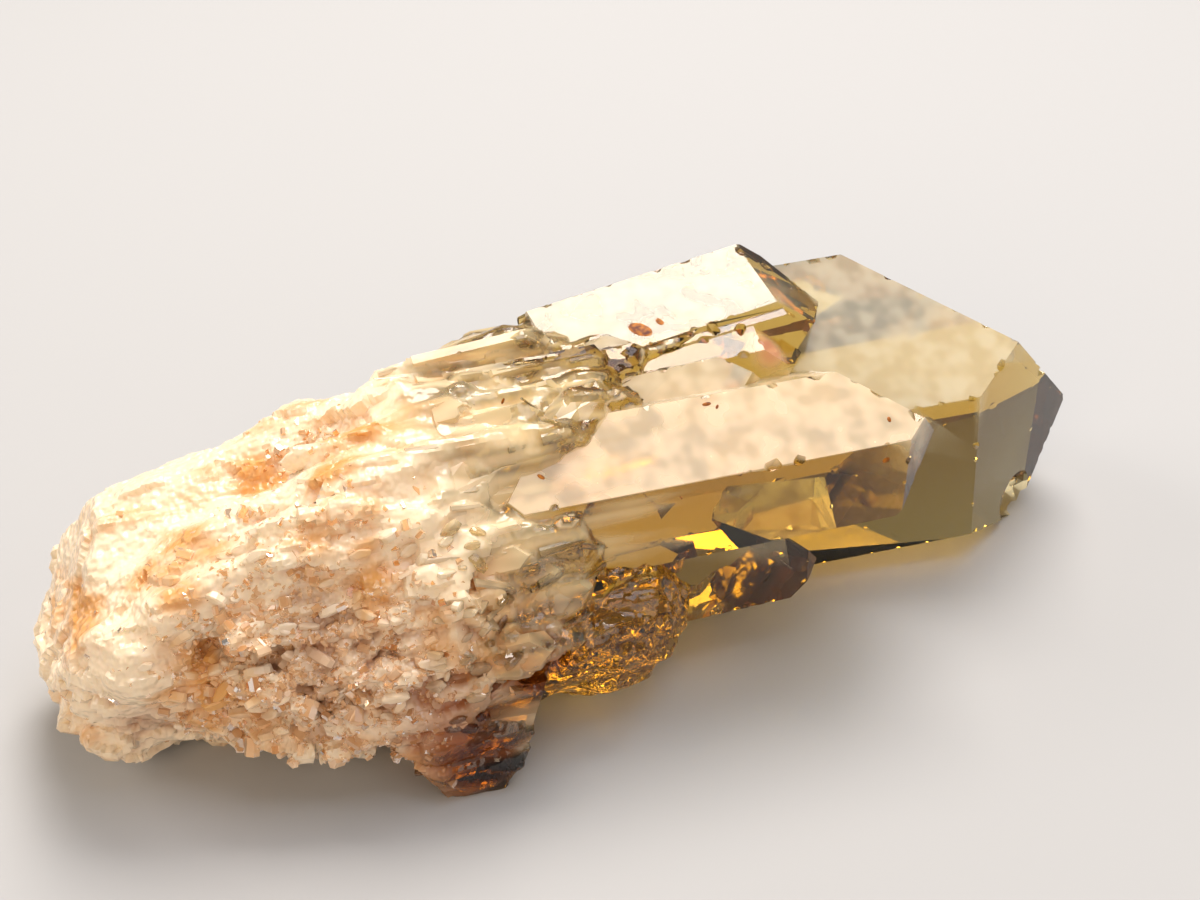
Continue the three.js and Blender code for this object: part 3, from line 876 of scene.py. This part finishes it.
class CITRINE_OT_stage(bpy.types.Operator):
    """Sets out the floor, the lights and the camera"""

    bl_idname = "citrine.stage"
    bl_label = "Stage"

    def execute(self, context):
        stage = stage_settings()
        bpy.ops.mesh.primitive_plane_add(size=4)
        floor = context.object
        floor.name = "floor"
        floor.data.materials.append(floor_material())

        context.scene.view_settings.view_transform = "Standard"
        world = bpy.data.worlds.new("studio")
        context.scene.world = world
        world.use_nodes = True
        world.node_tree.nodes["Background"].inputs["Color"].default_value = linear("#fffaf2")
        world.node_tree.nodes["Background"].inputs["Strength"].default_value = stage.world_light

        for name, place, size, power, colour in LIGHTS:
            bpy.ops.object.light_add(type="AREA", location=place)
            light = context.object
            light.name = name
            light.data.size = size
            light.data.color = linear(colour)[:3]
            light.data.energy = power * stage.light_power
            light.rotation_euler = (-Vector(place)).to_track_quat("-Z", "Y").to_euler()

        azimuth, elevation = math.radians(CAMERA_AZIMUTH), math.radians(CAMERA_ELEVATION)
        back = Vector(
            (
                math.sin(azimuth) * math.cos(elevation),
                -math.cos(azimuth) * math.cos(elevation),
                math.sin(elevation),
            )
        )
        location = Vector(CAMERA_TARGET) * MM + back * CAMERA_DISTANCE * MM
        bpy.ops.object.camera_add(location=location, rotation=(-back).to_track_quat("-Z", "Y").to_euler())
        camera = context.object
        camera.data.lens = 50
        camera.data.sensor_width = 36
        camera.data.clip_start = 0.005
        context.scene.camera = camera
        return {"FINISHED"}


class CitrineSettings(bpy.types.PropertyGroup):
    """What a user would change on the specimen"""

    milk_pale: bpy.props.FloatVectorProperty(
        name="Pale milk",
        description="Palest milky quartz",
        size=4,
        subtype="COLOR",
        default=linear("#ffe8ca"),
    )
    milk_honey: bpy.props.FloatVectorProperty(
        name="Honey milk",
        description="Milky quartz where it turns into citrine",
        size=4,
        subtype="COLOR",
        default=linear("#e6cc98"),
    )
    milk_warm: bpy.props.FloatVectorProperty(
        name="Warm milk",
        description="Warm milky quartz",
        size=4,
        subtype="COLOR",
        default=linear("#e3a763"),
    )
    clear_tint: bpy.props.FloatVectorProperty(
        name="Clear tint",
        description="Clear quartz at its surface",
        size=4,
        subtype="COLOR",
        default=linear("#fff0c4"),
    )
    iron_stain: bpy.props.FloatVectorProperty(
        name="Iron stain",
        description="Iron oxide in the hollows",
        size=4,
        subtype="COLOR",
        default=linear("#9a5420"),
    )
    gold: bpy.props.FloatVectorProperty(
        name="Gold",
        description="Light left after passing through",
        size=4,
        subtype="COLOR",
        default=linear("#ead74f"),
    )
    gold_density: bpy.props.FloatProperty(
        name="Gold density",
        description="How strongly the inside colours light, per metre",
        default=135,
    )
    druse_grains: bpy.props.IntProperty(
        name="Druse grains",
        description="How many tiny crystals",
        default=2600,
    )
    splinters: bpy.props.IntProperty(
        name="Splinters",
        description="How many slim blades",
        default=60,
    )
    glassy_chips: bpy.props.IntProperty(
        name="Glassy chips",
        description="How many broken chips",
        default=150,
    )
    # Grey of the frosted faces; on the main crystal's top face it is partly painted reflection of the sky,
    # partly real haze.
    frost_and_reflection_grey: bpy.props.FloatVectorProperty(
        name="Pale frost",
        description="Frosted crystal faces",
        size=4,
        subtype="COLOR",
        default=linear("#cfd0c2"),
    )
    frost_rosy: bpy.props.FloatVectorProperty(
        name="Rosy frost",
        description="Frosted faces with a trace of iron",
        size=4,
        subtype="COLOR",
        default=linear("#efd2b0"),
    )
    rose: bpy.props.FloatVectorProperty(
        name="Rose",
        description="Iron film on a small point",
        size=4,
        subtype="COLOR",
        default=linear("#d98c78"),
    )
    druse_tint: bpy.props.FloatVectorProperty(
        name="Druse",
        description="Clear druse grains",
        size=4,
        subtype="COLOR",
        default=linear("#ffca86"),
    )
    crystal_clearness: bpy.props.FloatProperty(
        name="Crystal clearness",
        description="Share of light that the crystals let through",
        default=0.985,
        subtype="FACTOR",
    )
    root_clearness: bpy.props.FloatProperty(
        name="Root clearness",
        description="Share of light that the milky root lets through",
        default=0.06,
        subtype="FACTOR",
    )
    root_glow: bpy.props.FloatProperty(
        name="Root glow",
        description="Share of light scattered below the root's skin",
        default=0.2,
        subtype="FACTOR",
    )
    smallest_crystal_face: bpy.props.FloatProperty(
        name="Smallest crystal face",
        description="Flat faces with a larger area than this stay crisp, in square millimetres",
        default=14.0,
    )
    crystals_start: bpy.props.FloatProperty(
        name="Crystals start",
        description="Flat crystal faces show from here on, in millimetres",
        default=-14.0,
    )
    root_end: bpy.props.FloatProperty(
        name="Root end",
        description="The broken root runs out among the crystals here, in millimetres",
        default=16.0,
    )
    edge_wear: bpy.props.FloatProperty(
        name="Edge wear",
        description="Bevel on the crystals' edges, in millimetres",
        default=0.12,
    )
    largest_chip: bpy.props.FloatProperty(
        name="Largest chip",
        description="Width of the largest edge chip, in millimetres",
        default=1.5,
    )
    chip_spacing: bpy.props.FloatProperty(
        name="Chip spacing",
        description="Mean gap between chips along an edge, in millimetres",
        default=3.2,
    )
    shortest_worn_edge: bpy.props.FloatProperty(
        name="Shortest worn edge",
        description="Shorter edges stay sharp, in millimetres",
        default=2.5,
    )
    root_step: bpy.props.FloatProperty(
        name="Root step",
        description="Fineness of the root's skin, in millimetres",
        default=0.34,
    )
    root_rounding: bpy.props.IntProperty(
        name="Root rounding",
        description="Rounds of smoothing before the root is broken up",
        default=3,
    )
    blade_width: bpy.props.FloatProperty(
        name="Blade width",
        description="Blades along the middle of the root, in millimetres",
        default=1.6,
    )
    coarse_facet: bpy.props.FloatProperty(
        name="Coarse facet",
        description="Width of the largest fracture facets, in millimetres",
        default=3.2,
    )
    middle_facet: bpy.props.FloatProperty(
        name="Middle facet",
        description="Width of the middling fracture facets, in millimetres",
        default=1.5,
    )
    fine_facet: bpy.props.FloatProperty(
        name="Fine facet",
        description="Width of the smallest fracture facets, in millimetres",
        default=0.8,
    )


class CitrineStageSettings(bpy.types.PropertyGroup):
    """What a user would change around the specimen"""

    floor_colour: bpy.props.FloatVectorProperty(
        name="Floor",
        description="Floor colour",
        size=4,
        subtype="COLOR",
        default=linear("#b3b5b8"),
    )
    world_light: bpy.props.FloatProperty(
        name="Room light",
        description="Strength of the light all round",
        default=0.22,
    )
    light_power: bpy.props.FloatProperty(
        name="Light power",
        description="All lamps, as a share",
        default=0.5,
    )


class CITRINE_PT_panel(bpy.types.Panel):
    """Lists the specimen's operators and settings"""

    bl_idname = "CITRINE_PT_panel"
    bl_label = "Citrine"
    bl_space_type = "VIEW_3D"
    bl_region_type = "UI"
    bl_category = "Citrine"

    def draw(self, context):
        for operator in OPERATORS:
            self.layout.operator(operator.bl_idname)


OPERATORS = [
    CITRINE_OT_quartz,
    CITRINE_OT_druse,
    CITRINE_OT_splinters,
    CITRINE_OT_chips,
    CITRINE_OT_flecks,
    CITRINE_OT_stage,
]
CLASSES = [CitrineSettings, CitrineStageSettings, *OPERATORS, CITRINE_PT_panel]


def register():
    for each in CLASSES:
        bpy.utils.register_class(each)
    bpy.types.Scene.citrine = bpy.props.PointerProperty(type=CitrineSettings)
    bpy.types.Scene.citrine_stage = bpy.props.PointerProperty(type=CitrineStageSettings)


def unregister():
    del bpy.types.Scene.citrine_stage
    del bpy.types.Scene.citrine
    for each in reversed(CLASSES):
        bpy.utils.unregister_class(each)


def main():
    register()
    bpy.ops.citrine.quartz()
    bpy.ops.citrine.druse()
    bpy.ops.citrine.splinters()
    bpy.ops.citrine.chips()
    bpy.ops.citrine.flecks()
    bpy.ops.citrine.stage()


if __name__ == "__main__":
    main()
